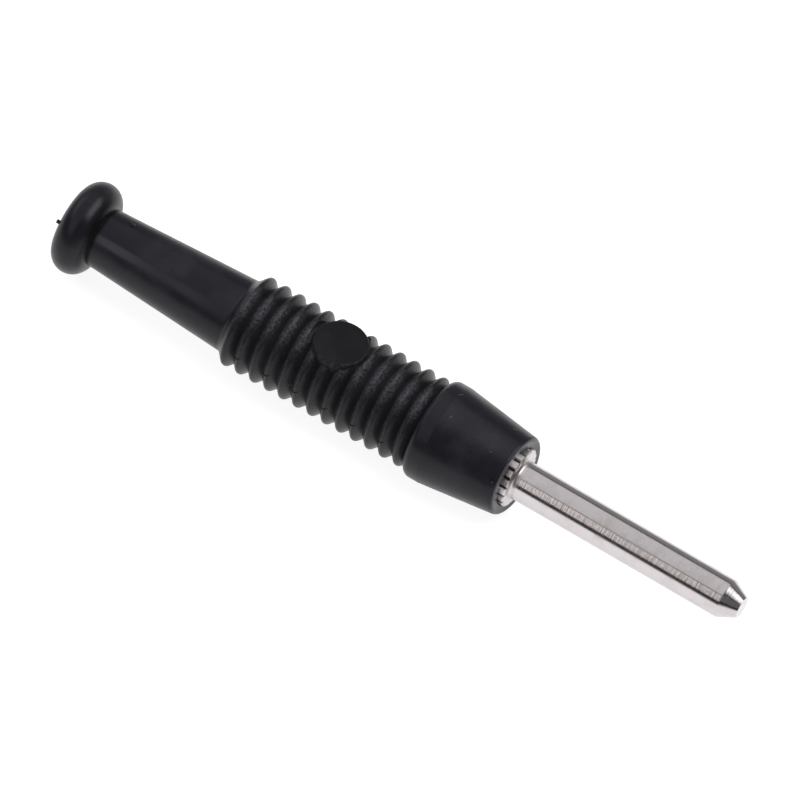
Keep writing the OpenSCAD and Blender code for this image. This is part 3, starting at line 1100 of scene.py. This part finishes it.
class PLUG_OT_stage(bpy.types.Operator):
    """Makes the floor, the lights and the camera"""

    bl_idname = "plug.stage"
    bl_label = "Set stage"

    def execute(self, context):
        stage = settings()[2]
        self.lay_floor(stage)
        self.light_room(context.scene, stage)
        self.set_exposure(context.scene, stage)
        for box in SOFTBOXES:
            softbox(*box)
        self.place_camera(context.scene, stage)
        return {"FINISHED"}

    def lay_floor(self, stage):
        """A pale floor lit from below as well, as on a light table."""
        mesh = bmesh.new()
        bmesh.ops.create_grid(mesh, x_segments=1, y_segments=1, size=FLOOR_REACH)
        floor = new_object("studio_floor", mesh)
        material, tree, shader, place = new_material("studio_floor")
        shader.inputs["Base Color"].default_value = opaque(stage.floor_colour)
        shader.inputs["Roughness"].default_value = FLOOR_ROUGH
        radius = vector_length(tree, place)
        full, faded = stage.glow_reach / MM, stage.glow_end / MM
        glow = spread(tree, radius, full, faded, 1.0, stage.glow_rest)
        tree.links.new(glow, shader.inputs["Emission Color"])
        shader.inputs["Emission Strength"].default_value = stage.floor_glow
        floor.data.materials.append(material)

    def light_room(self, scene, stage):
        """A dim room, darker in front, beyond the tip and overhead, and white to the camera."""
        world = bpy.data.worlds.new("studio_room")
        world.use_nodes = True
        tree = world.node_tree
        background = tree.nodes["Background"]
        path = tree.nodes.new("ShaderNodeLightPath")
        coordinates = tree.nodes.new("ShaderNodeTexCoord")
        split = put_node(tree, "ShaderNodeSeparateXYZ", {0: coordinates.outputs["Generated"]})
        depth = spread(tree, split.outputs["Y"], *ROOM_DEPTH, stage.front_fill, stage.back_fill)
        shade = spread(tree, split.outputs["X"], *ROOM_TIP, 1.0, stage.tip_shade)
        low = spread(tree, split.outputs["Z"], *ROOM_TOP, 1.0, ROOM_TOP_REST)
        dim = product(tree, depth, shade, low)
        white = opaque((1.0, 1.0, 1.0))
        seen = blend_colours(tree, path.outputs["Is Camera Ray"], dim, white)
        tree.links.new(seen, background.inputs["Color"])
        scene.world = world

    def set_exposure(self, scene, stage):
        """A plain display with the blacks lifted by stray light."""
        display = scene.view_settings
        display.view_transform = "Standard"
        display.use_curve_mapping = True
        display.curve_mapping.black_level = (-stage.veil,) * 3
        display.curve_mapping.update()

    def place_camera(self, scene, stage):
        """A long lens that looks down on the plug, with its axis sloping across the picture."""
        lean, turn, slope = stage.lean, stage.pad_turn, stage.axis_slope
        towards = Vector((
            math.sin(lean),
            -math.cos(lean) * math.sin(turn),
            math.cos(lean) * math.cos(turn),
        ))
        across = Vector((0.0, math.cos(turn), math.sin(turn)))
        along = across.cross(towards)
        right = math.cos(slope) * along + math.sin(slope) * across
        up = towards.cross(right)
        data = bpy.data.cameras.new("camera")
        data.lens = stage.focal_length
        distance = stage.frame_width * data.lens / data.sensor_width
        data.clip_start = distance * CLIP_START
        data.clip_end = distance * CLIP_END
        aim = on_sleeve(stage.aim_along, 0.0, 0.0) + across * stage.aim_up
        camera = bpy.data.objects.new("camera", data)
        turned = Matrix((right, up, towards)).transposed().to_4x4()
        camera.matrix_world = Matrix.Translation(aim + towards * distance) @ turned
        scene.collection.objects.link(camera)
        scene.camera = camera


class PLUG_PT_panel(bpy.types.Panel):
    """Lists the plug's settings and steps"""

    bl_idname = "PLUG_PT_panel"
    bl_label = "Banana plug"
    bl_space_type = "VIEW_3D"
    bl_region_type = "UI"
    bl_category = "Plug"

    def draw(self, context):
        for group in settings():
            for key in group.__annotations__:
                self.layout.prop(group, key)
        for operator in OPERATORS:
            self.layout.operator(operator.bl_idname)


GROUPS = {"plug_finish": PlugFinish, "plug_marks": PlugMarks, "plug_stage": PlugStage}
OPERATORS = [
    PLUG_OT_sleeve,
    PLUG_OT_flash,
    PLUG_OT_crumbs,
    PLUG_OT_lint,
    PLUG_OT_contact,
    PLUG_OT_screw,
    PLUG_OT_stage,
]


def register():
    """Adds the classes and the scene's settings."""
    for kind in [*GROUPS.values(), *OPERATORS, PLUG_PT_panel]:
        bpy.utils.register_class(kind)
    for name, kind in GROUPS.items():
        setattr(bpy.types.Scene, name, PointerProperty(type=kind))


def unregister():
    """Takes the settings and the classes out again."""
    for name in GROUPS:
        delattr(bpy.types.Scene, name)
    for kind in [PLUG_PT_panel, *OPERATORS, *GROUPS.values()]:
        bpy.utils.unregister_class(kind)


def main():
    """Makes each piece and the stage in order."""
    register()
    bpy.ops.plug.sleeve()
    bpy.ops.plug.flash()
    bpy.ops.plug.crumbs()
    bpy.ops.plug.lint()
    bpy.ops.plug.contact()
    bpy.ops.plug.screw()
    bpy.ops.plug.stage()


if __name__ == "__main__":
    main()
